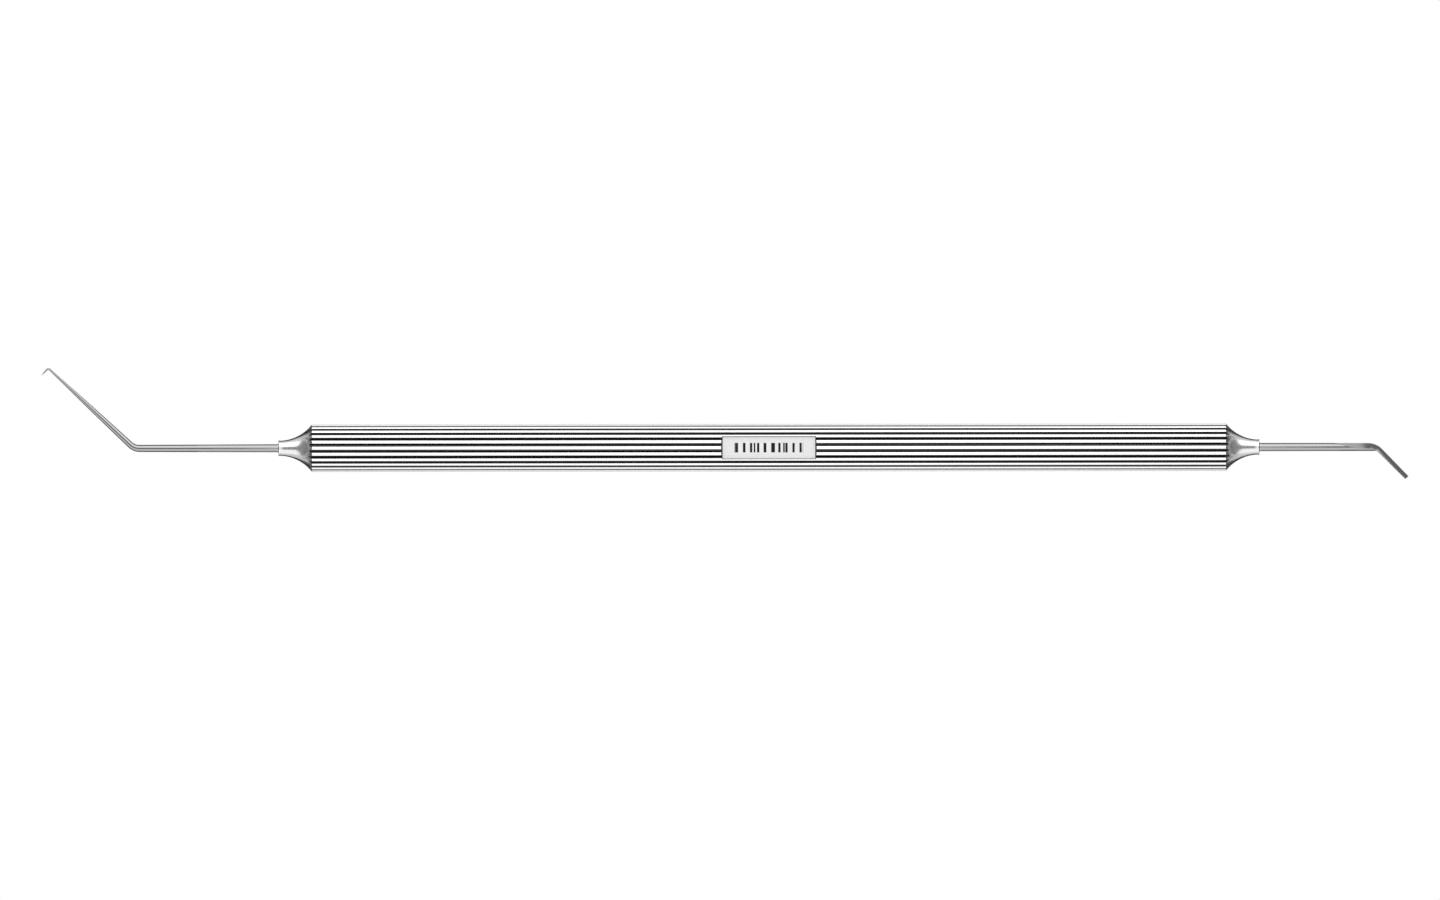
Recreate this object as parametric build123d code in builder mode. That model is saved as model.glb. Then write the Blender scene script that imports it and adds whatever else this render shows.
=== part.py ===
from build123d import *
from math import cos, radians, sin, sqrt, tan
import os

# Double-ended micro instrument, in millimetres: a fluted tubular handle, a coved nose
# plugged into each end, a fine right-angled hook on one shank and a narrow flat spatula
# on the other. X runs along the handle, with the hook at -X and the spatula at +X. The
# hook arm bends towards +Y, the spatula blade towards -Y, and the marking window faces
# +Z. The origin is on the handle's axis at mid-length.

# Handle tube
tube_length = 81.2              # between the two seats for the noses
handle_diameter = 4.2           # over the lands
flute_count = 24
flute_opening = 0.30            # across the mouth of a flute
flute_depth = 0.36
flute_root_width = 0.05
window_length = 8.1             # marking window, at its floor
window_width = 1.9
window_depth = 0.50             # below the lands, deeper than the flutes it crosses
window_draft = 17               # degrees
window_wall = 0.30              # between the window's floor and the bore

# Noses
seat_width = 0.20               # of the ring where a nose meets the end of the tube
nose_tip_diameter = 1.3
cove_radius = 3.7
rim_height = 0.04               # small turned lip round the mouth
rim_width = 0.14
spigot_length = 6.0
spigot_clearance = 0.01         # on the radius, in the tube's bore
spigot_chamfer = 0.2
mouth_width = 0.14              # of the countersink that holds the braze, on the radius
mouth_depth = 0.14
shank_clearance = 0.01          # on the radius, in a nose's bore
shank_insertion = 7.0           # length of a shank inside its nose
braze_fillet = 0.12             # how far the braze creeps out along the shank

# Hook shank
hook_shank_diameter = 0.70
hook_reach = 12.64              # from the nose's tip to the corner where the axes meet
hook_bend_angle = 43.1          # degrees, towards +Y
hook_bend_radius = 1.2
hook_bend_diameter = 0.62       # where the bend starts
arm_length = 10.3               # from the bend's corner to the hook's corner
arm_root_diameter = 0.56        # where the bend ends
arm_waist_diameter = 0.42
arm_waist_distance = 5.0        # from the bend's corner
arm_end_diameter = 0.17
hook_corner_radius = 0.17
hook_length = 0.88              # from the hook's corner to its point
hook_point_diameter = 0.02

# Spatula shank
spatula_shank_diameter = 0.72
spatula_bend_diameter = 0.69    # of the round wire where it runs into the bend
flattening_start = 6.5          # from the nose's tip to where the blade leaves the top line
flattening_end = 9.7            # from the nose's tip to where the blade has its full section
spatula_reach = 10.25           # from the nose's tip to the corner of the blade's outer face
spatula_bend_angle = 46.0       # degrees, towards -Y
spatula_bend_radius = 1.7       # of the blade's outer face
blade_width = 0.86
blade_thickness = 0.45          # at the bend
blade_end_thickness = 0.38
blade_length = 4.05             # from the corner of its outer face to the square end
blade_root_width = 0.48         # where the blade leaves the top line
blade_belly_rise = 0.19         # of the blade's lower edge over the wire's belly, before the bend

overcut = 1.0                   # how far a cutting shape runs past the surface it cuts

handle_radius = handle_diameter / 2
bore_radius = handle_radius - window_depth - window_wall
seat_radius = bore_radius + seat_width
nose_tip_radius = nose_tip_diameter / 2
seat_x = tube_length / 2


def cove_run(radius):
    """Distance along the axis from a nose's tip to where its cove reaches this radius."""
    below_centre = nose_tip_radius + cove_radius - radius
    return sqrt(cove_radius**2 - below_centre**2)


nose_tip_x = seat_x + cove_run(seat_radius)


def cove_point(radius):
    """Point of the cove's profile, as a distance along the axis and a radius."""
    return (nose_tip_x - cove_run(radius), radius)


def end_plane(side):
    """Profile plane of one end: its first axis runs out of the handle at that end."""
    return Plane((0, 0, 0), x_dir=(side, 0, 0), z_dir=(0, 0, 1))


ends = {"hook": (-1, hook_shank_diameter), "spatula": (1, spatula_shank_diameter)}

os.makedirs("parts", exist_ok=True)

# Handle tube: a fluted bar with a through bore, its ends turned to carry on the noses' cove
with BuildPart() as handle_tube:
    with BuildSketch(Plane.YZ.offset(-tube_length / 2)):
        Circle(handle_radius)
        flare = (flute_opening - flute_root_width) / 2 / flute_depth
        half_root = flute_root_width / 2
        half_mouth = half_root + flare * (flute_depth + overcut)
        with PolarLocations(handle_radius, flute_count, start_angle=180 / flute_count):
            Polygon(
                (-flute_depth, -half_root),
                (overcut, -half_mouth),
                (overcut, half_mouth),
                (-flute_depth, half_root),
                align=None,
                mode=Mode.SUBTRACT,
            )
        Circle(bore_radius, mode=Mode.SUBTRACT)
    extrude(amount=tube_length)
    for side, _ in ends.values():
        with BuildSketch(end_plane(side)):
            with BuildLine():
                ThreePointArc(
                    cove_point(seat_radius),
                    cove_point((seat_radius + handle_radius) / 2),
                    cove_point(handle_radius),
                )
                Polyline(
                    cove_point(handle_radius),
                    (cove_point(handle_radius)[0], handle_radius + overcut),
                    (seat_x + overcut, handle_radius + overcut),
                    (seat_x + overcut, seat_radius),
                    cove_point(seat_radius),
                )
            make_face()
        revolve(axis=Axis.X, mode=Mode.SUBTRACT)
    with BuildSketch(Plane.XY.offset(handle_radius - window_depth)):
        Rectangle(window_length, window_width)
    extrude(amount=window_depth + overcut, taper=-window_draft, mode=Mode.SUBTRACT)
handle_tube.part.label = "handle_tube"
export_step(handle_tube.part, "parts/handle_tube.step")

# Noses and braze fillets, one pair for each end
for end, (side, shank_diameter) in ends.items():
    shank_radius = shank_diameter / 2
    shank_bore_radius = shank_radius + shank_clearance
    mouth_radius = shank_bore_radius + mouth_width
    spigot_radius = bore_radius - spigot_clearance
    spigot_end_x = seat_x - spigot_length
    rim_foot_x = nose_tip_x - rim_width
    rim_foot_radius = nose_tip_radius + cove_radius - sqrt(cove_radius**2 - rim_width**2)

    with BuildPart() as nose:
        with BuildSketch(end_plane(side)):
            with BuildLine():
                Polyline(
                    (nose_tip_x - mouth_depth, shank_bore_radius),
                    (spigot_end_x, shank_bore_radius),
                    (spigot_end_x, spigot_radius - spigot_chamfer),
                    (spigot_end_x + spigot_chamfer, spigot_radius),
                    (seat_x, spigot_radius),
                    (seat_x, seat_radius),
                )
                ThreePointArc(
                    cove_point(seat_radius),
                    cove_point((seat_radius + rim_foot_radius) / 2),
                    (rim_foot_x, rim_foot_radius),
                )
                Polyline(
                    (rim_foot_x, rim_foot_radius),
                    (nose_tip_x, nose_tip_radius + rim_height),
                    (nose_tip_x, mouth_radius),
                    (nose_tip_x - mouth_depth, shank_bore_radius),
                )
            make_face()
        revolve(axis=Axis.X)
    nose.part.label = f"{end}_nose"
    export_step(nose.part, f"parts/{end}_nose.step")

    with BuildPart() as braze:
        with BuildSketch(end_plane(side)):
            Polygon(
                (nose_tip_x - mouth_depth, shank_bore_radius),
                (nose_tip_x - mouth_depth, shank_radius),
                (nose_tip_x + braze_fillet, shank_radius),
                (nose_tip_x, mouth_radius),
                align=None,
            )
        revolve(axis=Axis.X)
    braze.part.label = f"{end}_braze"
    export_step(braze.part, f"parts/{end}_braze.step")

# Both shanks start with a plain tail in the nose and taper from where the braze ends
tail_x = nose_tip_x - shank_insertion
taper_x = nose_tip_x + braze_fillet
hook_bend_x = nose_tip_x + hook_reach

# Hook shank: drawn wire, tapered, bent twice and pointed
arm_tangent = hook_bend_radius * tan(radians(hook_bend_angle / 2))
arm_direction = Vector(-cos(radians(hook_bend_angle)), sin(radians(hook_bend_angle)))
hook_corner = Vector(-hook_bend_x, 0) + arm_direction * arm_length
point_direction = arm_direction.rotate(Axis.Z, 90)
with BuildPart() as hook_shank:
    with BuildSketch(end_plane(-1)):
        bend_start_x = hook_bend_x - arm_tangent
        Polygon(
            (tail_x, 0),
            (bend_start_x, 0),
            (bend_start_x, hook_bend_diameter / 2),
            (taper_x, hook_shank_diameter / 2),
            (tail_x, hook_shank_diameter / 2),
            align=None,
        )
    revolve(axis=Axis.X)
    with BuildLine():
        bend = JernArc((-bend_start_x, 0), (-1, 0), hook_bend_radius, -hook_bend_angle)
    with BuildSketch(Plane(bend @ 0, z_dir=bend % 0)):
        Circle(hook_bend_diameter / 2)
    with BuildSketch(Plane(bend @ 1, z_dir=bend % 1)):
        Circle(arm_root_diameter / 2)
    sweep(multisection=True)
    with BuildSketch(Plane((-hook_bend_x, 0), x_dir=arm_direction, z_dir=(0, 0, 1))):
        arm_end = arm_length - hook_corner_radius
        Polygon(
            (arm_tangent, 0),
            (arm_end, 0),
            (arm_end, arm_end_diameter / 2),
            (arm_waist_distance, arm_waist_diameter / 2),
            (arm_tangent, arm_root_diameter / 2),
            align=None,
        )
    revolve(axis=Axis((-hook_bend_x, 0), arm_direction))
    with BuildLine():
        corner = JernArc(
            hook_corner - arm_direction * hook_corner_radius,
            arm_direction,
            hook_corner_radius,
            90,
        )
    with BuildSketch(Plane(corner @ 0, z_dir=corner % 0)):
        Circle(arm_end_diameter / 2)
    sweep()
    with BuildSketch(Plane(hook_corner, x_dir=point_direction, z_dir=(0, 0, 1))):
        Polygon(
            (hook_corner_radius, 0),
            (hook_length, 0),
            (hook_length, hook_point_diameter / 2),
            (hook_corner_radius, arm_end_diameter / 2),
            align=None,
        )
    revolve(axis=Axis(hook_corner, point_direction))
hook_shank.part.label = "hook_shank"
export_step(hook_shank.part, "parts/hook_shank.step")

# Spatula shank: the same wire, forged to a blade that is flush with its top line and bent
# down off it. The blade is where its side outline and its plan outline overlap.
flattening_start_x = nose_tip_x + flattening_start
flattening_end_x = nose_tip_x + flattening_end
flattening_middle_x = (flattening_start_x + flattening_end_x) / 2
top_y = spatula_bend_diameter / 2
bend_run = spatula_bend_radius * tan(radians(spatula_bend_angle / 2))
bend_start_x = nose_tip_x + spatula_reach - bend_run
with BuildPart() as blade:
    with BuildSketch(Plane.XY):
        with BuildLine():
            top = Line((flattening_start_x, top_y), (bend_start_x, top_y))
            bend = JernArc(top @ 1, (1, 0), spatula_bend_radius, -spatula_bend_angle)
            down = bend % 1
            inward = down.rotate(Axis.Z, -90)
            outer = Line(bend @ 1, bend @ 1 + down * (blade_length - bend_run))
            inner_end = outer @ 1 + inward * blade_end_thickness
            inner_root = bend @ 1 + inward * blade_thickness
            inner_corner = inner_root - down * ((inner_root.Y + top_y) / down.Y)
            Polyline(
                outer @ 1,
                inner_end,
                inner_corner,
                (flattening_end_x, blade_belly_rise - top_y),
            )
            Bezier(
                (flattening_end_x, blade_belly_rise - top_y),
                (flattening_middle_x, blade_belly_rise - top_y),
                (flattening_start_x, top_y),
            )
        make_face()
    extrude(amount=blade_width / 2, both=True)
    with BuildSketch(Plane.XZ.offset(-top_y)):
        far_x = bend_start_x + blade_length
        with BuildLine():
            for z_side in (-1, 1):
                Bezier(
                    (flattening_start_x, z_side * blade_root_width / 2),
                    (flattening_middle_x, z_side * blade_width / 2),
                    (flattening_end_x, z_side * blade_width / 2),
                )
            Line(
                (flattening_start_x, -blade_root_width / 2),
                (flattening_start_x, blade_root_width / 2),
            )
            Polyline(
                (flattening_end_x, -blade_width / 2),
                (far_x, -blade_width / 2),
                (far_x, blade_width / 2),
                (flattening_end_x, blade_width / 2),
            )
        make_face()
    extrude(amount=blade_length, both=True, mode=Mode.INTERSECT)

with BuildPart() as spatula_shank:
    with BuildSketch(end_plane(1)):
        Polygon(
            (tail_x, 0),
            (inner_corner.X, 0),
            (inner_corner.X, spatula_bend_diameter / 2),
            (taper_x, spatula_shank_diameter / 2),
            (tail_x, spatula_shank_diameter / 2),
            align=None,
        )
    revolve(axis=Axis.X)
    with BuildSketch(Plane.XY):
        with BuildLine():
            add(bend)
            Polyline(
                bend @ 1,
                (far_x, (bend @ 1).Y),
                (far_x, top_y + overcut),
                (bend_start_x, top_y + overcut),
                bend @ 0,
            )
        make_face()
    extrude(amount=overcut, both=True, mode=Mode.SUBTRACT)
    add(blade.part)
spatula_shank.part.label = "spatula_shank"
export_step(spatula_shank.part, "parts/spatula_shank.step")
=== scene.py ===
import bpy
import bmesh
from math import cos, pi, radians, sin, sqrt, tan
from mathutils import Matrix, Vector


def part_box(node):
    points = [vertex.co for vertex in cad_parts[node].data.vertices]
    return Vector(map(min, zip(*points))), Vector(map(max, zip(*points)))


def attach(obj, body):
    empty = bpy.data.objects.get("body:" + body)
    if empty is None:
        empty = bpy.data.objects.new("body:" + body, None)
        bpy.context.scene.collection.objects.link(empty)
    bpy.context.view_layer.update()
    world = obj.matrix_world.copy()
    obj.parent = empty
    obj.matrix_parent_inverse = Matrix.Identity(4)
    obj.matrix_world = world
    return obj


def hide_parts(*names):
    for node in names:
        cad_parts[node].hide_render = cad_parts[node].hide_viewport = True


# A double-ended micro instrument of stainless steel. Pieces are drawn in millimetres and
# scaled to metres when they are finished. X runs along the handle, hook at -X, spatula at
# +X, and the marking window faces +Z.

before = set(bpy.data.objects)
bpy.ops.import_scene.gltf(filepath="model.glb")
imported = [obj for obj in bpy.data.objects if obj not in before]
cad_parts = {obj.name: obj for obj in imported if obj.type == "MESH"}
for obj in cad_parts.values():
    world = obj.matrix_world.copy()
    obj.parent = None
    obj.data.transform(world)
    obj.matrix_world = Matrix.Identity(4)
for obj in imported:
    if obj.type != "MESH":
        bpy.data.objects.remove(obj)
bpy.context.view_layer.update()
MM = 0.001


def box_mm(node):
    """Lowest and highest corner of a CAD node, in millimetres."""
    low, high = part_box(node)
    return Vector(low) / MM, Vector(high) / MM


# Sizes taken from the frame
half_tube = box_mm("handle_tube")[1].x
handle_radius = box_mm("handle_tube")[1].z
seat_radius = box_mm("hook_nose")[1].z
nose_tip_x = box_mm("spatula_nose")[1].x
spigot_end_x = box_mm("spatula_nose")[0].x
tail_x_out = box_mm("spatula_shank")[0].x
braze_end_x = box_mm("spatula_braze")[1].x
mouth_radius = {"hook": box_mm("hook_braze")[1].z, "spatula": box_mm("spatula_braze")[1].z}
blade_width = 2 * box_mm("spatula_shank")[1].z

# Sizes of the handle, as in the design
flute_count = 24
flute_opening = 0.30
flute_depth = 0.36
flute_root_width = 0.05
land_crown = 0.035
flute_lip_radius = 0.02
flute_root_radius = 0.02
end_rings = 14
bore_radius = 1.3
window_length = 8.1
window_width = 1.9
window_depth = 0.50
window_draft = 17

# Laser marking on the window's floor: two rows of evenly spaced bars, one over the other
marking_half_length = 3.0
marking_half_height = 0.42
wide_bar_spacing, wide_bar_half_width = 0.31, 0.10
fine_bar_spacing, fine_bar_half_width = 0.43, 0.07
bar_row_offset = 9
wall_above_floor = 0.02

# Sizes of the noses
nose_tip_radius = 0.65
cove_radius = 3.7
rim_height = 0.04
rim_width = 0.14
mouth_depth = 0.14
mouth_edge_break = 0.01
nose_gap = 0.01
spigot_chamfer = 0.2
nose_flank_steps = 28
braze_fillet_steps = 12

# Sizes of the hook shank
hook_diameter = 0.70
hook_reach = 12.64
hook_bend_angle = 43.1
hook_bend_radius = 1.2
arm_length = 10.3
hook_corner_radius = 0.17
hook_length = 0.88
hook_bend_start_wire_radius = 0.31
hook_bend_wire_radius = 0.28
arm_waist_radius = 0.21
arm_waist_from_bend = 5.0
arm_waist_ease = 1.2
arm_end_radius = 0.085
hook_corner_wire_radius = 0.08
hook_point_radius = 0.005
hook_point_power = 1.6
wire_tail_rounding = 0.06
wire_tail_step = 0.02

# Sizes of the spatula shank
spatula_diameter = 0.72
belly_diameter = 0.69
blade_start = 6.5
blade_full = 9.7
spatula_reach = 10.25
spatula_bend_angle = 46.0
spatula_bend_radius = 1.7
blade_thickness = 0.45
blade_end_thickness = 0.38
blade_length = 4.05
blade_root_width = 0.48
blade_belly_rise = 0.19
blade_edge_bevel = 0.035
spatula_sharp_angle = 25
bend_steps = 24
loft_steps = 40
loft_gap = 0.02
bevel_least_angle = 40
bevel_from_start = 0.5
cut_past_bend = 3
cut_top_y = 2
cut_half_height = 1

shank_radius = {"hook": hook_diameter / 2, "spatula": spatula_diameter / 2}


def add_node(tree, kind, inputs=(), **settings):
    """Adds a node. Inputs go in order or by name, each a value, a socket or a node."""
    node = tree.nodes.new(kind)
    for name, value in settings.items():
        setattr(node, name, value)
    for key, value in inputs.items() if isinstance(inputs, dict) else enumerate(inputs):
        if isinstance(value, bpy.types.Node):
            value = value.outputs[0]
        if isinstance(value, bpy.types.NodeSocket):
            tree.links.new(value, node.inputs[key])
        else:
            node.inputs[key].default_value = value
    return node


def linear(hex_colour):
    """An sRGB hex colour as linear RGBA."""
    parts = [int(hex_colour[i : i + 2], 16) / 255 for i in (1, 3, 5)]
    turned = [p / 12.92 if p <= 0.04045 else ((p + 0.055) / 1.055) ** 2.4 for p in parts]
    return (*turned, 1.0)


def new_material(name, base, roughness, metallic=1.0):
    """A material with a Principled shader, and its tree, shader and Object coordinates in mm."""
    material = bpy.data.materials.new(name)
    material.use_nodes = True
    tree = material.node_tree
    tree.nodes.clear()
    shader = add_node(tree, "ShaderNodeBsdfPrincipled")
    shader.inputs["Base Color"].default_value = linear(base)
    shader.inputs["Roughness"].default_value = roughness
    shader.inputs["Metallic"].default_value = metallic
    add_node(tree, "ShaderNodeOutputMaterial", {"Surface": shader})
    place = add_node(tree, "ShaderNodeTexCoord").outputs["Object"]
    in_mm = add_node(tree, "ShaderNodeVectorMath", {0: place, 3: 1 / MM}, operation="SCALE")
    return material, tree, shader, in_mm


def scratches(tree, shader, place, per_mm, detail, bump_um, low, high):
    """Fine marks: noise at per_mm marks a millimetre along X, Y and Z, in bump and roughness.
    The real marks are too fine for any view to show, so every finish draws them coarser."""
    stretched = add_node(tree, "ShaderNodeVectorMath", [place, per_mm], operation="MULTIPLY")
    noise = add_node(
        tree, "ShaderNodeTexNoise", {"Vector": stretched, "Scale": 1.0, "Detail": detail}
    )
    rough = add_node(
        tree,
        "ShaderNodeMapRange",
        {"Value": noise, "From Min": 0.3, "From Max": 0.7, "To Min": low, "To Max": high},
    )
    tree.links.new(rough.outputs[0], shader.inputs["Roughness"])
    bump = add_node(
        tree, "ShaderNodeBump", {"Height": noise, "Distance": bump_um * 1e-6, "Strength": 1.0}
    )
    tree.links.new(bump.outputs[0], shader.inputs["Normal"])


def paint_edge_shade(shader, share):
    """Sets how much of its light a metal keeps at a grazing angle. A low share paints shade along
    the outline, a dark rim for the dark surroundings the edges reflect.
    """
    shader.inputs["Specular Tint"].default_value = (share, share, share, 1)


def handle_steel():
    """Handle: 303 stainless bar, drawn bright, fluted and tumbled. The lands are bright with
    faint marks along the bar, drawn at 8 a millimetre across it and so coarser than a die's.
    The flutes' roots are painted dark grey: painted shade, for the shade deep in the flutes."""
    material, tree, shader, place = new_material("fluted_stainless_steel", "#ECECEC", 0.2)
    scratches(tree, shader, place, (0.3, 8, 8), 3, 0.2, 0.16, 0.24)
    depth = add_node(tree, "ShaderNodeAttribute", attribute_name="groove").outputs["Fac"]
    # Painted shade: from 0.08 mm below the lands the colour turns dark grey, for the shade in the
    # flutes' roots
    root = add_node(
        tree, "ShaderNodeMapRange", {"Value": depth, "From Min": 0.08, "From Max": 0.13}
    )
    colour = add_node(
        tree,
        "ShaderNodeMix",
        {0: root, 6: linear("#ECECEC"), 7: linear("#5A5A5A")},
        data_type="RGBA",
    )
    tree.links.new(colour.outputs["Result"], shader.inputs["Base Color"])
    return material


def satin_turned_steel():
    """Noses: the same steel, turned and left satin: a soft grey from fine rings round the
    axis, drawn at 9 a millimetre and so coarser than a finishing cut's."""
    material, tree, shader, place = new_material("satin_turned_steel", "#D0D0D0", 0.28)
    scratches(tree, shader, place, (9, 0.8, 0.8), 4, 0.8, 0.2, 0.28)
    # Painted shade: a dark rim along the nose's outline
    paint_edge_shade(shader, 0.1)
    return material


def polished_wire_steel():
    """Shanks: hard-drawn 420 stainless wire, polished: clean streaks of light along it. The
    polishing marks are drawn at 10 a millimetre, much coarser than they are."""
    material, tree, shader, place = new_material("polished_stainless_wire", "#9A9A9A", 0.12)
    scratches(tree, shader, place, (1.0, 10, 10), 2, 0.2, 0.08, 0.16)
    # Painted shade: a dark rim along the wire's outline
    paint_edge_shade(shader, 0.1)
    return material


def ground_blade_steel():
    """Blade: the wire's steel, ground on a fine wheel: an even, dull grey that holds no image.
    The wheel's marks are drawn at 9 a millimetre along it, coarser than they are."""
    material, tree, shader, place = new_material("ground_blade_steel", "#F0F0F0", 0.5)
    scratches(tree, shader, place, (9, 9, 40), 4, 2.0, 0.42, 0.6)
    return material


def silver_braze():
    """Braze: silver alloy as it flowed, a touch warmer than the steel, with a liquid skin."""
    material, tree, shader, place = new_material("silver_braze", "#C6C3BC", 0.28)
    scratches(tree, shader, place, (8, 8, 8), 2, 1.0, 0.22, 0.34)
    return material


def window_steel():
    """Marking window: milled flat and blasted, a fine even satin that scatters the light. Its
    walls are painted dark grey, as painted shade in the pocket. A laser has oxidised a plain
    row of bars on it. The blasting's pits are drawn at 10 a millimetre, coarser than they are."""
    material, tree, shader, place = new_material("blasted_window_steel", "#DADADA", 0.5)
    scratches(tree, shader, place, (10, 10, 10), 3, 0.8, 0.45, 0.58)
    axes = add_node(tree, "ShaderNodeSeparateXYZ", [place]).outputs
    known = {"x": axes["X"], "y": axes["Y"], "z": axes["Z"]}
    sums = (
        ("off_middle", "ABSOLUTE", "x"),
        ("off_axis", "ABSOLUTE", "y"),
        ("in_length", "LESS_THAN", "off_middle", marking_half_length),
        ("in_height", "LESS_THAN", "off_axis", marking_half_height),
        ("in_row", "MULTIPLY", "in_length", "in_height"),
        ("offset_x", "ADD", "x", bar_row_offset),
        ("from_wide_bar", "PINGPONG", "offset_x", wide_bar_spacing),
        ("from_fine_bar", "PINGPONG", "offset_x", fine_bar_spacing),
        ("on_wide_bar", "LESS_THAN", "from_wide_bar", wide_bar_half_width),
        ("on_fine_bar", "LESS_THAN", "from_fine_bar", fine_bar_half_width),
        ("on_bar", "MAXIMUM", "on_wide_bar", "on_fine_bar"),
        ("marking", "MULTIPLY", "in_row", "on_bar"),
        ("wall_painted_shade", "GREATER_THAN", "z", handle_radius - window_depth + wall_above_floor),
    )
    for name, operation, *parts in sums:
        parts = [known.get(part, part) for part in parts]
        known[name] = add_node(tree, "ShaderNodeMath", parts, operation=operation)
    # Painted shade: the window's walls are painted dark grey, where shade falls in the pocket
    finish = add_node(
        tree,
        "ShaderNodeMix",
        {0: known["wall_painted_shade"], 6: linear("#DADADA"), 7: linear("#454545")},
        data_type="RGBA",
    )
    marked = add_node(
        tree,
        "ShaderNodeMix",
        {0: known["marking"], 6: finish.outputs["Result"], 7: linear("#262524")},
        data_type="RGBA",
    ).outputs["Result"]
    tree.links.new(marked, shader.inputs["Base Color"])
    return material


def cove_run(radius):
    """Distance along the axis from a nose's tip to where its cove reaches this radius."""
    return sqrt(cove_radius**2 - (nose_tip_radius + cove_radius - radius) ** 2)


def cove_at(run):
    """Radius of the cove at this distance from a nose's tip."""
    return nose_tip_radius + cove_radius - sqrt(cove_radius**2 - run**2)


def mesh_object(name, verts, faces):
    """A mesh object, linked to the scene."""
    mesh = bpy.data.meshes.new(name)
    mesh.from_pydata([tuple(v) for v in verts], [], faces)
    piece = bpy.data.objects.new(name, mesh)
    bpy.context.scene.collection.objects.link(piece)
    return piece


def face_outwards(piece):
    """Merges doubles and turns every face outwards."""
    work = bmesh.new()
    work.from_mesh(piece.data)
    bmesh.ops.remove_doubles(work, verts=work.verts, dist=1e-5)
    bmesh.ops.recalc_face_normals(work, faces=work.faces)
    work.to_mesh(piece.data)
    work.free()


def apply_modifiers(piece):
    """Leaves the evaluated mesh on the piece, with no modifier."""
    evaluated = piece.evaluated_get(bpy.context.evaluated_depsgraph_get())
    mesh = bpy.data.meshes.new_from_object(evaluated)
    piece.modifiers.clear()
    piece.data = mesh


def finish_piece(piece, materials, replaces, sharp_angle=30):
    """Scales a piece to metres, shades it, gives it its materials and hangs it on the frame.
    With no materials given, it keeps its own."""
    piece.data.transform(Matrix.Scale(MM, 4))
    piece.data.name = piece.name
    if materials:
        piece.data.materials.clear()
        for material in materials:
            piece.data.materials.append(material)
    piece.data.shade_smooth()
    piece.data.set_sharp_from_angle(angle=radians(sharp_angle))
    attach(piece, "root")
    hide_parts(*replaces)


def lathe(name, profile, segments=160):
    """A ring turned about X from a closed profile of (x, radius) points."""
    count = len(profile)
    verts = []
    for x, radius in profile:
        for k in range(segments):
            turn = 2 * pi * k / segments
            verts.append((x, radius * cos(turn), radius * sin(turn)))
    faces = []
    for i in range(count):
        for k in range(segments):
            a, b = i * segments, (i + 1) % count * segments
            faces.append((a + k, a + (k + 1) % segments, b + (k + 1) % segments, b + k))
    piece = mesh_object(name, verts, faces)
    face_outwards(piece)
    return piece


def arc(centre, radius, start, end, steps):
    """Points on an arc, angles in degrees."""
    turns = [radians(start + (end - start) * i / steps) for i in range(steps + 1)]
    return [(centre[0] + radius * cos(t), centre[1] + radius * sin(t)) for t in turns]


fluted_finish = handle_steel()
window_finish = window_steel()
turned_finish = satin_turned_steel()
wire_finish = polished_wire_steel()
blade_finish = ground_blade_steel()
braze_finish = silver_braze()


# Handle ---------------------------------------------------------------------------------


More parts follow.
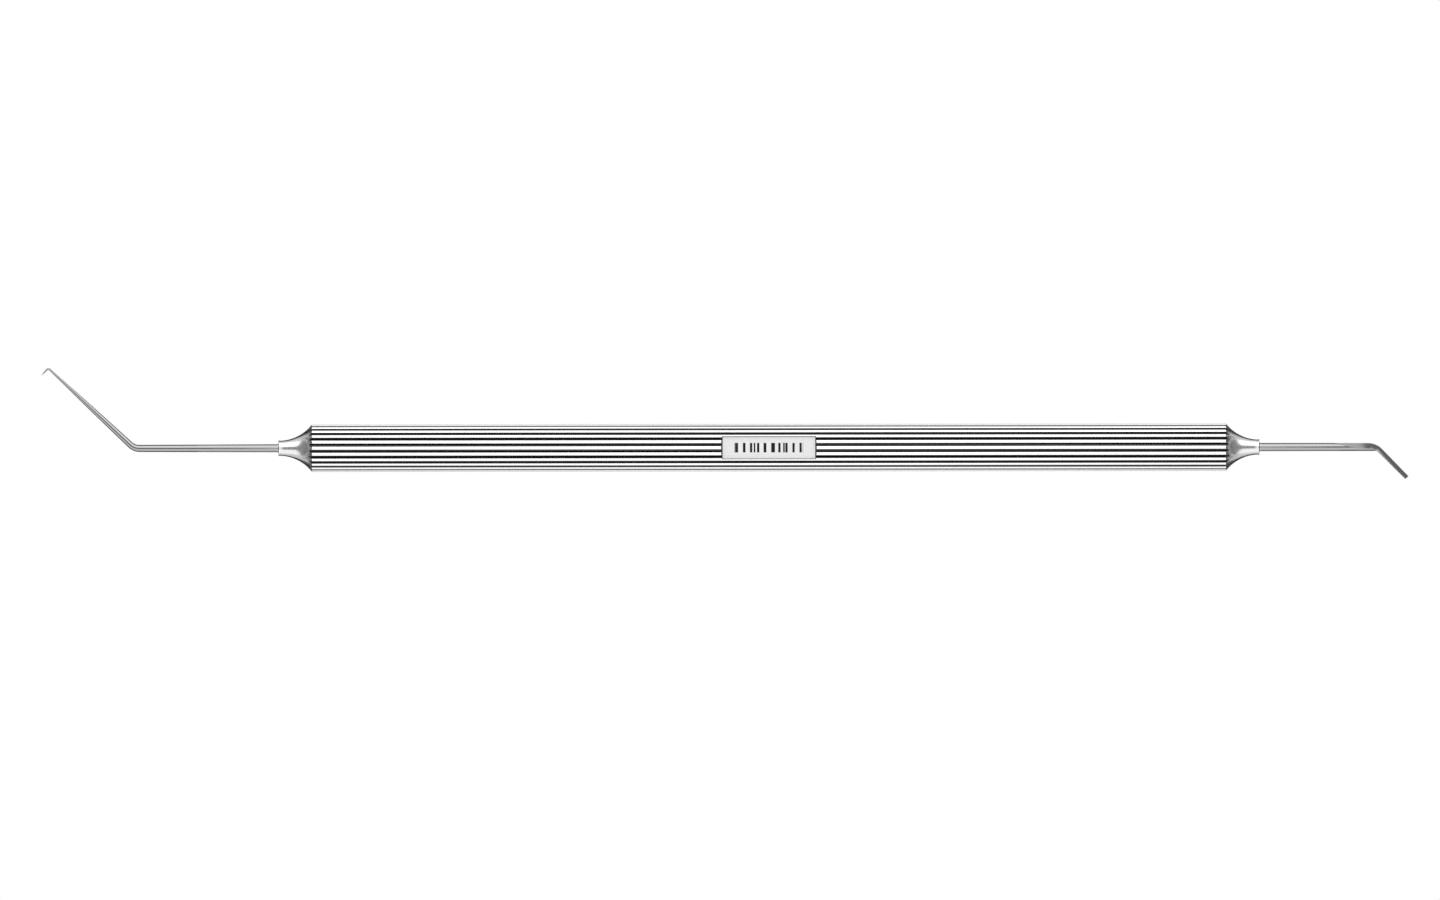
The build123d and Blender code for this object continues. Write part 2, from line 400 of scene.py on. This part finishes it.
def fluted_tube_tree(fluted_steel, turned_steel, floor_steel):
    """Geometry nodes: a fluted tube along X with coved ends, a bore and a drafted window."""
    tree = bpy.data.node_groups.new("fluted_tube", "GeometryNodeTree")
    face = tree.interface
    sizes = {
        "Radius": handle_radius,
        "Bore Radius": bore_radius,
        "Flute Opening": flute_opening,
        "Flute Depth": flute_depth,
        "Flute Root Width": flute_root_width,
        "Land Crown": land_crown,
        "Lip Radius": flute_lip_radius,
        "Root Radius": flute_root_radius,
        "Seat Radius": seat_radius,
        "Nose Tip X": nose_tip_x,
        "Cove Radius": cove_radius,
        "Cove Floor": nose_tip_radius,
        "Window Length": window_length,
        "Window Width": window_width,
        "Window Depth": window_depth,
        "Window Flare": tan(radians(window_draft)),
    }
    counts = {"Flute Count": flute_count, "End Rings": end_rings}
    for name in sizes:
        face.new_socket(name, in_out="INPUT", socket_type="NodeSocketFloat")
    for name in counts:
        face.new_socket(name, in_out="INPUT", socket_type="NodeSocketInt")
    face.new_socket("Tube", in_out="OUTPUT", socket_type="NodeSocketGeometry")
    given = add_node(tree, "NodeGroupInput").outputs
    known = {name: given[name] for name in (*sizes, *counts)}

    # Section: ten points a flute, two at its root and eight over the crowned land. Each row
    # is a sum's name, its operation and what goes in: numbers, sizes or the sums above it.
    known["index"] = add_node(tree, "GeometryNodeInputIndex")
    section_sums = (
        ("step", "MODULO", "index", 10),
        ("flutes_past", "DIVIDE", "index", 10),
        ("flute", "FLOOR", "flutes_past"),
        ("on_root", "LESS_THAN", "step", 1.5),
        ("on_land", "SUBTRACT", 1, "on_root"),
        ("land_step", "SUBTRACT", "step", 2),
        ("along_land", "DIVIDE", "land_step", 7),
        ("from_crest", "MULTIPLY_ADD", "along_land", 2, -1),
        ("off_crest", "ABSOLUTE", "from_crest"),
        ("crest_fall", "POWER", "off_crest", 2),
        ("crown", "MULTIPLY", "Land Crown", "crest_fall"),
        ("land_drop", "MULTIPLY", "on_land", "crown"),
        ("drop", "MULTIPLY_ADD", "on_root", "Flute Depth", "land_drop"),
        ("section_radius", "SUBTRACT", "Radius", "drop"),
        ("turn_per_flute", "DIVIDE", 2 * pi, "Flute Count"),
        ("pitch", "MULTIPLY", "turn_per_flute", "Radius"),
        ("land_width", "SUBTRACT", "pitch", "Flute Opening"),
        ("half_opening", "MULTIPLY", "Flute Opening", 0.5),
        ("across_land", "MULTIPLY_ADD", "along_land", "land_width", "half_opening"),
        ("root_side", "SUBTRACT", "step", 0.5),
        ("across_root", "MULTIPLY", "root_side", "Flute Root Width"),
        ("root_part", "MULTIPLY", "on_root", "across_root"),
        ("across", "MULTIPLY_ADD", "on_land", "across_land", "root_part"),
        ("turn_across", "DIVIDE", "across", "section_radius"),
        ("flute_centre", "ADD", "flute", 0.5),
        ("turn", "MULTIPLY_ADD", "flute_centre", "turn_per_flute", "turn_across"),
        ("turn_cosine", "COSINE", "turn"),
        ("turn_sine", "SINE", "turn"),
        ("section_x", "MULTIPLY", "section_radius", "turn_cosine"),
        ("section_y", "MULTIPLY", "section_radius", "turn_sine"),
        ("corners", "MULTIPLY", "Flute Count", 10),
        ("from_land_middle", "SUBTRACT", "step", 5.5),
        ("off_land_middle", "ABSOLUTE", "from_land_middle"),
        ("at_lip", "COMPARE", "off_land_middle", 3.5, 0.1),
        ("root_rounding", "MULTIPLY", "on_root", "Root Radius"),
        ("rounding", "MULTIPLY_ADD", "at_lip", "Lip Radius", "root_rounding"),
        ("last_ring", "ADD", "End Rings", 0.5),
        ("first_ring", "MULTIPLY", "last_ring", -1),
        ("rings_each_side", "ADD", "End Rings", 1),
        ("rings", "MULTIPLY", "rings_each_side", 2),
    )
    for name, operation, *parts in section_sums:
        parts = [known.get(part, part) for part in parts]
        known[name] = add_node(tree, "ShaderNodeMath", parts, operation=operation)
    section_place = add_node(
        tree, "ShaderNodeCombineXYZ", {"X": known["section_x"], "Y": known["section_y"]}
    )
    circle = add_node(
        tree, "GeometryNodeCurvePrimitiveCircle", {"Resolution": known["corners"]}, mode="RADIUS"
    )
    section = add_node(
        tree, "GeometryNodeSetPosition", {"Geometry": circle, "Position": section_place}
    )
    rounded = add_node(
        tree,
        "GeometryNodeFilletCurve",
        {"Curve": section, "Count": 3, "Radius": known["rounding"], "Limit Radius": True},
        mode="POLY",
    )
    place = add_node(tree, "GeometryNodeInputPosition").outputs[0]
    captured = add_node(tree, "GeometryNodeCaptureAttribute", {"Geometry": rounded}, domain="POINT")
    captured.capture_items.new("VECTOR", "Section")
    tree.links.new(place, captured.inputs["Section"])

    # Sweep: a line whose X counts the rings from the middle outwards, at both ends
    line = add_node(
        tree,
        "GeometryNodeCurvePrimitiveLine",
        {
            "Start": add_node(tree, "ShaderNodeCombineXYZ", {"X": known["first_ring"]}),
            "End": add_node(tree, "ShaderNodeCombineXYZ", {"X": known["last_ring"]}),
        },
        mode="POINTS",
    )
    path = add_node(tree, "GeometryNodeResampleCurve", {"Curve": line, "Count": known["rings"]})
    at_point = add_node(tree, "ShaderNodeSeparateXYZ", [place]).outputs
    station = add_node(tree, "GeometryNodeCaptureAttribute", {"Geometry": path}, domain="POINT")
    station.capture_items.new("FLOAT", "Station")
    tree.links.new(at_point["X"], station.inputs["Station"])
    swept = add_node(
        tree,
        "GeometryNodeCurveToMesh",
        {
            "Curve": station.outputs["Geometry"],
            "Profile Curve": captured.outputs["Geometry"],
            "Fill Caps": True,
        },
    )

    # Every point goes to where the ends' cove reaches its radius, and the window's cutter
    # widens upwards by its draft
    section_point = captured.outputs["Section"]
    at_section = add_node(tree, "ShaderNodeSeparateXYZ", [section_point]).outputs
    full_radius = add_node(tree, "ShaderNodeVectorMath", [section_point], operation="LENGTH")
    in_cutter = add_node(
        tree, "GeometryNodeInputNamedAttribute", {"Name": "in_window"}, data_type="FLOAT"
    )
    known["point_x"] = at_point["X"]
    known["point_y"] = at_point["Y"]
    known["point_z"] = at_point["Z"]
    known["at_section_x"] = at_section["X"]
    known["at_section_y"] = at_section["Y"]
    known["full_radius"] = full_radius.outputs["Value"]
    known["ring"] = station.outputs["Station"]
    known["in_cutter"] = in_cutter.outputs["Attribute"]
    shape_sums = (
        ("ring_from_middle", "ABSOLUTE", "ring"),
        ("rings_out", "SUBTRACT", "ring_from_middle", 0.5),
        ("share", "DIVIDE", "rings_out", "End Rings"),
        ("above_seat", "SUBTRACT", "full_radius", "Seat Radius"),
        ("cut", "MULTIPLY", "share", "above_seat"),
        ("ring_radius", "SUBTRACT", "full_radius", "cut"),
        ("cove_centre", "ADD", "Cove Floor", "Cove Radius"),
        ("below_centre", "SUBTRACT", "cove_centre", "ring_radius"),
        ("cove_square", "POWER", "Cove Radius", 2),
        ("below_square", "POWER", "below_centre", 2),
        ("run_square", "SUBTRACT", "cove_square", "below_square"),
        ("run", "SQRT", "run_square"),
        ("end_x", "SUBTRACT", "Nose Tip X", "run"),
        ("end_side", "SIGN", "ring"),
        ("tube_x", "MULTIPLY", "end_side", "end_x"),
        ("shrink", "DIVIDE", "ring_radius", "full_radius"),
        ("tube_y", "MULTIPLY", "at_section_x", "shrink"),
        ("tube_z", "MULTIPLY", "at_section_y", "shrink"),
        ("on_flutes", "LESS_THAN", "share", 0.01),
        ("below_lands", "SUBTRACT", "Radius", "full_radius"),
        ("groove", "MULTIPLY", "on_flutes", "below_lands"),
        ("bore_length", "MULTIPLY", "Nose Tip X", 2),
        ("cutter_height", "MULTIPLY", "Window Depth", 4),
        ("above_floor", "MULTIPLY_ADD", "Window Depth", 2, "point_z"),
        ("draft", "MULTIPLY", "above_floor", "Window Flare"),
        ("side_x", "SIGN", "point_x"),
        ("side_y", "SIGN", "point_y"),
        ("draft_x", "MULTIPLY", "side_x", "draft"),
        ("draft_y", "MULTIPLY", "side_y", "draft"),
        ("cutter_rise", "ADD", "Radius", "Window Depth"),
        ("land_below_centre", "SUBTRACT", "cove_centre", "Radius"),
        ("land_square", "POWER", "land_below_centre", 2),
        ("cove_length_square", "SUBTRACT", "cove_square", "land_square"),
        ("cove_length", "SQRT", "cove_length_square"),
        ("cove_x", "SUBTRACT", "Nose Tip X", "cove_length"),
        ("off_middle", "ABSOLUTE", "point_x"),
        ("on_cove", "GREATER_THAN", "off_middle", "cove_x"),
        ("in_window", "GREATER_THAN", "in_cutter", 0.5),
    )
    for name, operation, *parts in shape_sums:
        parts = [known.get(part, part) for part in parts]
        known[name] = add_node(tree, "ShaderNodeMath", parts, operation=operation)
    tube_place = add_node(
        tree,
        "ShaderNodeCombineXYZ",
        {"X": known["tube_x"], "Y": known["tube_y"], "Z": known["tube_z"]},
    )
    fluted = add_node(tree, "GeometryNodeSetPosition", {"Geometry": swept, "Position": tube_place})
    # The depth below the lands is kept on each face; the handle steel paints shade into the flutes'
    # roots from it
    stained = add_node(
        tree,
        "GeometryNodeStoreNamedAttribute",
        {"Geometry": fluted, "Name": "groove", "Value": known["groove"]},
        data_type="FLOAT",
        domain="FACE",
    )
    merged = add_node(tree, "GeometryNodeMergeByDistance", {"Geometry": stained, "Distance": 0.0005})

    # Bore and marking window are cut out
    bore = add_node(
        tree,
        "GeometryNodeMeshCylinder",
        {"Vertices": 96, "Radius": given["Bore Radius"], "Depth": known["bore_length"]},
    )
    lying_bore = add_node(
        tree, "GeometryNodeTransform", {"Geometry": bore, "Rotation": (0, pi / 2, 0)}
    )
    block_size = add_node(
        tree,
        "ShaderNodeCombineXYZ",
        {"X": given["Window Length"], "Y": given["Window Width"], "Z": known["cutter_height"]},
    )
    block = add_node(tree, "GeometryNodeMeshCube", {"Size": block_size})
    spread = add_node(
        tree,
        "ShaderNodeCombineXYZ",
        {"X": known["draft_x"], "Y": known["draft_y"], "Z": known["cutter_rise"]},
    )
    cutter = add_node(tree, "GeometryNodeSetPosition", {"Geometry": block, "Offset": spread})
    tagged = add_node(
        tree,
        "GeometryNodeStoreNamedAttribute",
        {"Geometry": cutter, "Name": "in_window", "Value": 1.0},
        data_type="FLOAT",
        domain="FACE",
    )
    opened = add_node(
        tree, "GeometryNodeMeshBoolean", {"Mesh 1": merged}, operation="DIFFERENCE", solver="EXACT"
    )
    tree.links.new(lying_bore.outputs[0], opened.inputs["Mesh 2"])
    tree.links.new(tagged.outputs[0], opened.inputs["Mesh 2"])

    # The coved ends are turned steel, and the window's floor and walls have their own finish, with
    # painted shade on the walls
    real = add_node(tree, "GeometryNodeRealizeInstances", {"Geometry": opened})
    piece = add_node(tree, "GeometryNodeSetMaterial", {"Geometry": real, "Material": fluted_steel})
    for where, steel in (("on_cove", turned_steel), ("in_window", floor_steel)):
        piece = add_node(
            tree,
            "GeometryNodeSetMaterial",
            {"Geometry": piece, "Selection": known[where], "Material": steel},
        )
    add_node(tree, "NodeGroupOutput", {"Tube": piece})
    return tree, {**sizes, **counts}


def fluted_tube():
    """The handle tube, from its geometry nodes."""
    tree, sizes = fluted_tube_tree(fluted_finish, turned_finish, window_finish)
    piece = mesh_object("fluted_tube", [], [])
    modifier = piece.modifiers.new("fluted_tube", "NODES")
    modifier.node_group = tree
    sockets = {item.name: item.identifier for item in tree.interface.items_tree}
    for name, size in sizes.items():
        modifier[sockets[name]] = size
    apply_modifiers(piece)
    face_outwards(piece)
    finish_piece(piece, (), ["handle_tube"])


# Noses and braze ------------------------------------------------------------------------


def nose(end, side):
    """A turned nose: spigot, shoulder, concave flank, rolled lip and a bored mouth."""
    bore = shank_radius[end] + nose_gap
    foot_radius = cove_at(rim_width)
    flank = []
    for i in range(nose_flank_steps + 1):
        radius = seat_radius + (foot_radius - seat_radius) * i / nose_flank_steps
        flank.append((nose_tip_x - cove_run(radius), radius))
    lip_centre = (nose_tip_x - rim_height, nose_tip_radius)
    lip = arc(lip_centre, rim_height, 90, 0, 5)
    profile = [
        (nose_tip_x - mouth_depth, bore),
        (spigot_end_x, bore),
        (spigot_end_x, bore_radius - nose_gap - spigot_chamfer),
        (spigot_end_x + spigot_chamfer, bore_radius - nose_gap),
        (half_tube, bore_radius - nose_gap),
        (half_tube, seat_radius),
        *flank,
        *lip,
        (nose_tip_x, mouth_radius[end] + mouth_edge_break),
        (nose_tip_x - mouth_edge_break, mouth_radius[end]),
    ]
    piece = lathe(f"{end}_nose_turned", [(side * x, r) for x, r in profile])
    finish_piece(piece, [turned_finish], [f"{end}_nose"])


def braze(end, side):
    """The ring of braze in a nose's mouth, drawn up the shank in a hollow fillet."""
    shank, mouth = shank_radius[end], mouth_radius[end]
    reach = braze_end_x - nose_tip_x
    hollow = []
    for i in range(braze_fillet_steps + 1):
        turn = radians(90 * i / braze_fillet_steps)
        hollow.append(
            (
                nose_tip_x + reach * (1 - sin(turn)),
                shank + (mouth - shank) * (1 - cos(turn)),
            )
        )
    profile = [
        (nose_tip_x - mouth_depth, shank + nose_gap),
        (nose_tip_x - mouth_depth, shank),
        *hollow,
    ]
    piece = lathe(f"{end}_braze_fillet", [(side * x, r) for x, r in profile], 96)
    finish_piece(piece, [braze_finish], [f"{end}_braze"])


# Shanks ---------------------------------------------------------------------------------


def round_wire(name, stations, segments=64):
    """A wire in the XY plane through (x, y, heading in degrees, radius) stations."""
    verts = []
    for x, y, heading, radius in stations:
        side_x, side_y = -sin(radians(heading)), cos(radians(heading))
        for k in range(segments):
            turn = 2 * pi * k / segments
            out = radius * cos(turn)
            verts.append((x + out * side_x, y + out * side_y, radius * sin(turn)))
    faces = [tuple(range(segments)), tuple(range(len(verts) - segments, len(verts)))]
    for i in range(len(stations) - 1):
        a, b = i * segments, (i + 1) * segments
        for k in range(segments):
            faces.append((a + k, a + (k + 1) % segments, b + (k + 1) % segments, b + k))
    piece = mesh_object(name, verts, faces)
    face_outwards(piece)
    return piece


def blend_radii(points, where):
    """Radius at a distance, eased between (distance, radius) points."""
    for (a, start), (b, end) in zip(points, points[1:]):
        if where <= b:
            return start + (end - start) * (where - a) / (b - a)
    return points[-1][1]


def straight(start, heading, length, radius_at, steps):
    """Stations along a straight run; radius_at gives the radius at a distance from its start."""
    stations = []
    for i in range(steps + 1):
        run = length * i / steps
        stations.append(
            (
                start[0] + run * cos(radians(heading)),
                start[1] + run * sin(radians(heading)),
                heading,
                radius_at(run),
            )
        )
    return stations


def bent(start, heading, radius, angle, start_radius, end_radius, steps):
    """Stations round a bend, to the left for a positive angle."""
    side = 1 if angle > 0 else -1
    centre_turn = radians(heading + 90 * side)
    centre = (start[0] + radius * cos(centre_turn), start[1] + radius * sin(centre_turn))
    stations = []
    for i in range(1, steps + 1):
        turned = heading + angle * i / steps
        out = radians(turned - 90 * side)
        wire = start_radius + (end_radius - start_radius) * i / steps
        stations.append(
            (centre[0] + radius * cos(out), centre[1] + radius * sin(out), turned, wire)
        )
    return stations


def hook_wire():
    """The hook's shank: tapered wire, bent twice, the second time to a sharp right angle."""
    full = hook_diameter / 2
    tangent = hook_bend_radius * tan(radians(hook_bend_angle / 2))
    bend_x = nose_tip_x + hook_reach - tangent
    shank = [
        (wire_tail_rounding, full),
        (braze_end_x - tail_x_out, full),
        (bend_x - tail_x_out, hook_bend_start_wire_radius),
    ]

    def shank_radius_at(run):
        """The tail's edge is rounded over, and past the braze the wire tapers to the bend."""
        if run < wire_tail_rounding:
            rise = sqrt(wire_tail_rounding**2 - (wire_tail_rounding - run) ** 2)
            return full - wire_tail_rounding + rise
        return blend_radii(shank, run)

    stations = [(-tail_x_out, 0, 180, full - wire_tail_rounding)]
    stations += straight(
        (-tail_x_out - wire_tail_step, 0),
        180,
        wire_tail_rounding - wire_tail_step,
        lambda run: shank_radius_at(run + wire_tail_step),
        3,
    )
    stations += straight(
        stations[-1][:2],
        180,
        bend_x - tail_x_out - wire_tail_rounding,
        lambda run: shank_radius_at(run + wire_tail_rounding),
        40,
    )[1:]
    stations += bent(
        stations[-1][:2],
        180,
        hook_bend_radius,
        -hook_bend_angle,
        hook_bend_start_wire_radius,
        hook_bend_wire_radius,
        20,
    )
    heading = 180 - hook_bend_angle
    arm_run = arm_length - hook_corner_radius - tangent
    arm = [
        (0, hook_bend_wire_radius),
        (arm_waist_from_bend - tangent, arm_waist_radius),
        (arm_run, arm_end_radius),
    ]

    def arm_radius_at(run):
        """Eased over the waist, so that the taper has no kink."""
        if not arm_waist_ease < run < arm_run - arm_waist_ease:
            return blend_radii(arm, run)
        before = blend_radii(arm, run - arm_waist_ease)
        after = blend_radii(arm, run + arm_waist_ease)
        return (before + 2 * blend_radii(arm, run) + after) / 4

    stations += straight(stations[-1][:2], heading, arm_run, arm_radius_at, 48)[1:]
    stations += bent(
        stations[-1][:2],
        heading,
        hook_corner_radius,
        90,
        arm_end_radius,
        hook_corner_wire_radius,
        14,
    )
    heading += 90
    point_run = hook_length - hook_corner_radius

    def point_radius_at(run):
        """The point is ground: nearly full for a third of it, then drawn in to a fine tip."""
        share = run / point_run
        ground = (hook_corner_wire_radius - hook_point_radius) * (1 - share**hook_point_power)
        return hook_point_radius + ground

    stations += straight(stations[-1][:2], heading, point_run, point_radius_at, 16)[1:]
    piece = round_wire("hook_wire", stations)
    finish_piece(piece, [wire_finish], ["hook_shank"])


def prism(name, outline, half_height):
    """A prism on the XY plane, from its outline."""
    count = len(outline)
    verts = [(x, y, z) for z in (-half_height, half_height) for x, y in outline]
    faces = [tuple(range(count)), tuple(range(count, 2 * count))]
    for i in range(count):
        j = (i + 1) % count
        faces.append((i, j, count + j, count + i))
    piece = mesh_object(name, verts, faces)
    face_outwards(piece)
    return piece


def combine(piece, other, operation):
    """Joins another shape to a piece or cuts it off, and removes it."""
    modifier = piece.modifiers.new("combine", "BOOLEAN")
    modifier.object = other
    modifier.operation = operation
    modifier.solver = "EXACT"
    apply_modifiers(piece)
    bpy.data.objects.remove(other)


def spatula_blade(top_y):
    """The flat blade: flush with the wire's top, bent down off it, with a square end. Each
    section is a rectangle from an outer point to an inner one, with its half width."""
    start_x = nose_tip_x + blade_start
    full_x = nose_tip_x + blade_full
    belly_y = blade_belly_rise - top_y
    bend_run = spatula_bend_radius * tan(radians(spatula_bend_angle / 2))
    bend_x = nose_tip_x + spatula_reach - bend_run
    down = Vector((cos(radians(spatula_bend_angle)), -sin(radians(spatula_bend_angle))))
    inward = Vector((down.y, -down.x))
    centre_y = top_y - spatula_bend_radius
    bend = arc((bend_x, centre_y), spatula_bend_radius, 90, 90 - spatula_bend_angle, bend_steps)
    bend_end = Vector(bend[-1])
    outer_end = bend_end + down * (blade_length - bend_run)
    inner_root = bend_end + inward * blade_thickness
    inner_corner = inner_root - down * ((inner_root.y + top_y) / down.y)

    sections = []
    for i in range(loft_steps + 1):
        left = 1 - i / loft_steps
        x = full_x + (start_x - full_x) * left
        over = max(0, x - bend_x)
        outer_y = centre_y + sqrt(spatula_bend_radius**2 - over**2)
        inner_y = belly_y + (top_y - belly_y) * left**2
        half = (blade_width - (blade_width - blade_root_width) * left**2) / 2
        sections.append(((x, outer_y), (x, inner_y), half))
    full = blade_width / 2
    rest = [point for point in bend if point[0] > full_x + loft_gap]
    turn = len(rest) // 2
    inner_run = [Vector((full_x, belly_y)), inner_corner, inner_root]
    for i, outer in enumerate(rest):
        leg = 0 if i < turn else 1
        share = (i + 1) / turn if leg == 0 else (i + 1 - turn) / (len(rest) - turn)
        inner = inner_run[leg].lerp(inner_run[leg + 1], share)
        sections.append((outer, tuple(inner), full))
    sections.append((tuple(outer_end), tuple(outer_end + inward * blade_end_thickness), full))

    verts = []
    for outer, inner, half in sections:
        verts += [(*outer, half), (*outer, -half), (*inner, -half), (*inner, half)]
    last = len(verts) - 4
    faces = [(0, 1, 2, 3), (last, last + 1, last + 2, last + 3)]
    for i in range(0, last, 4):
        for k in range(4):
            faces.append((i + k, i + (k + 1) % 4, i + 4 + (k + 1) % 4, i + 4 + k))
    blade = mesh_object("blade", verts, faces)
    face_outwards(blade)
    work = bmesh.new()
    work.from_mesh(blade.data)
    corners = [
        edge
        for edge in work.edges
        if edge.calc_face_angle(0) > radians(bevel_least_angle)
        and min(vert.co.x for vert in edge.verts) > start_x + bevel_from_start
    ]
    bmesh.ops.bevel(
        work,
        geom=corners,
        offset=blade_edge_bevel,
        segments=3,
        profile=0.5,
        affect="EDGES",
        clamp_overlap=True,
    )
    for face in work.faces:
        face.material_index = 1
    work.to_mesh(blade.data)
    work.free()
    return blade, bend, inner_corner


def spatula_wire():
    """The spatula's shank: round wire whose end is forged to the blade."""
    full = spatula_diameter / 2
    top_y = belly_diameter / 2
    blade, bend, inner_corner = spatula_blade(top_y)
    end_x = inner_corner.x
    taper = [(0, full), (braze_end_x - tail_x_out, full), (end_x - tail_x_out, top_y)]
    stations = straight(
        (tail_x_out, 0), 0, end_x - tail_x_out, lambda run: blend_radii(taper, run), 60
    )
    piece = round_wire("spatula_wire", stations, 96)
    far_x = bend[-1][0] + cut_past_bend
    above = [*bend, (far_x, bend[-1][1]), (far_x, cut_top_y), (bend[0][0], cut_top_y)]
    combine(piece, prism("above_bend", above, cut_half_height), "DIFFERENCE")
    combine(piece, blade, "UNION")
    finish_piece(
        piece, [wire_finish, blade_finish], ["spatula_shank"], spatula_sharp_angle
    )


fluted_tube()
for end, side in (("hook", -1), ("spatula", 1)):
    nose(end, side)
    braze(end, side)
hook_wire()
spatula_wire()


# Stage, light and camera: metres from here on, apart from the black cards ---------------

sheet_half_size = 4
floor_height = -handle_radius * MM
table_below_paper = 0.02 * MM
table_glow = 0.95
card_below_handle = 0.01
# Each strip's inner end and outer end from the handle's middle, and its half width
card_strips = ((41.5, 50.0, 4.5), (50.0, 85.0, 12.0))
box_reach = 0.364
box_height = 0.2645
box_size = (1.3, 0.607)
overhead_height = 0.12
overhead_size = (0.092, 0.088)


def lit_sheet(name, material_name, height, strength):
    """A large level sheet, glowing evenly as white paper does when it is lit from below."""
    material = bpy.data.materials.new(material_name)
    material.use_nodes = True
    tree = material.node_tree
    tree.nodes.clear()
    glow = add_node(tree, "ShaderNodeEmission", {"Color": (1, 1, 1, 1), "Strength": strength})
    add_node(tree, "ShaderNodeOutputMaterial", {"Surface": glow})
    half = sheet_half_size
    corners = [(-half, -half), (half, -half), (half, half), (-half, half)]
    sheet = mesh_object(name, [(x, y, height) for x, y in corners], [(0, 1, 2, 3)])
    sheet.data.materials.append(material)
    sheet.visible_shadow = False
    return sheet


def black_cards():
    """Black cards under each end, where the steel reflects them as a dark outline: a narrow
    strip under the nose, and a wider one further out, under the shank's bend and tip."""
    black = new_material("black_card", "#050505", 0.9, metallic=0.0)[0]
    level = -handle_radius - card_below_handle
    for side in (-1, 1):
        corners = []
        for inner, outer, half in card_strips:
            corners += [(inner, -half), (outer, -half), (outer, half), (inner, half)]
        card = mesh_object(
            "black_card",
            [(side * x * MM, y * MM, level * MM) for x, y in corners],
            [(0, 1, 2, 3), (4, 5, 6, 7)],
        )
        card.data.materials.append(black)
        card.visible_camera = False


def softbox(name, place, size, radiance):
    """A rectangular soft light that faces the handle's middle."""
    light = bpy.data.lights.new(name, "AREA")
    light.shape = "RECTANGLE"
    light.size, light.size_y = size
    light.energy = radiance * pi * size[0] * size[1]
    lamp = bpy.data.objects.new(name, light)
    lamp.location = place
    lamp.rotation_euler = (-Vector(place)).to_track_quat("-Z", "Y").to_euler()
    bpy.context.scene.collection.objects.link(lamp)
    return lamp


def studio_room():
    """A dim room: mid grey overhead, and near black at the floor's level and below."""
    room = bpy.data.worlds.new("studio_room")
    room.use_nodes = True
    tree = room.node_tree
    direction = add_node(tree, "ShaderNodeTexCoord").outputs["Generated"]
    height = add_node(tree, "ShaderNodeSeparateXYZ", [direction]).outputs["Z"]
    strength = add_node(
        tree,
        "ShaderNodeMapRange",
        {"Value": height, "From Min": -0.05, "From Max": 0.25, "To Min": 0.02, "To Max": 0.34},
    )
    tree.links.new(strength.outputs[0], tree.nodes["Background"].inputs["Strength"])
    tree.nodes["Background"].inputs["Color"].default_value = (1, 1, 1, 1)
    return room


# The camera sees the paper, and the steel reflects the table just below it
paper = lit_sheet("floor_paper", "lit_white_paper", floor_height, 1.0)
paper.visible_glossy = False
paper.visible_diffuse = False
table = lit_sheet("floor_table", "glowing_table", floor_height - table_below_paper, table_glow)
table.visible_camera = False
black_cards()

# Two long boxes light the handle's sides. The one overhead covers the handle alone, so that
# the noses and shanks keep a darker streak along the middle.
softbox("box_above", (0, box_reach, box_height), box_size, 1.7)
softbox("box_below", (0, -box_reach, box_height), box_size, 1.1)
overhead = softbox("box_overhead", (0, 0, overhead_height), overhead_size, 0.84)
overhead.visible_camera = False

scene = bpy.context.scene
scene.world = studio_room()
scene.view_settings.view_transform = "Standard"

view_width = 0.126144
view_centre = (-0.004284, -0.0002)
camera_height = 0.35
camera_roll = -0.07
camera = bpy.data.objects.new("camera", bpy.data.cameras.new("camera"))
camera.data.type = "ORTHO"
camera.data.ortho_scale = view_width
camera.data.clip_start = 0.01
camera.data.clip_end = 5
camera.location = (*view_centre, camera_height)
camera.rotation_euler = (0, 0, radians(camera_roll))
scene.collection.objects.link(camera)
scene.camera = camera
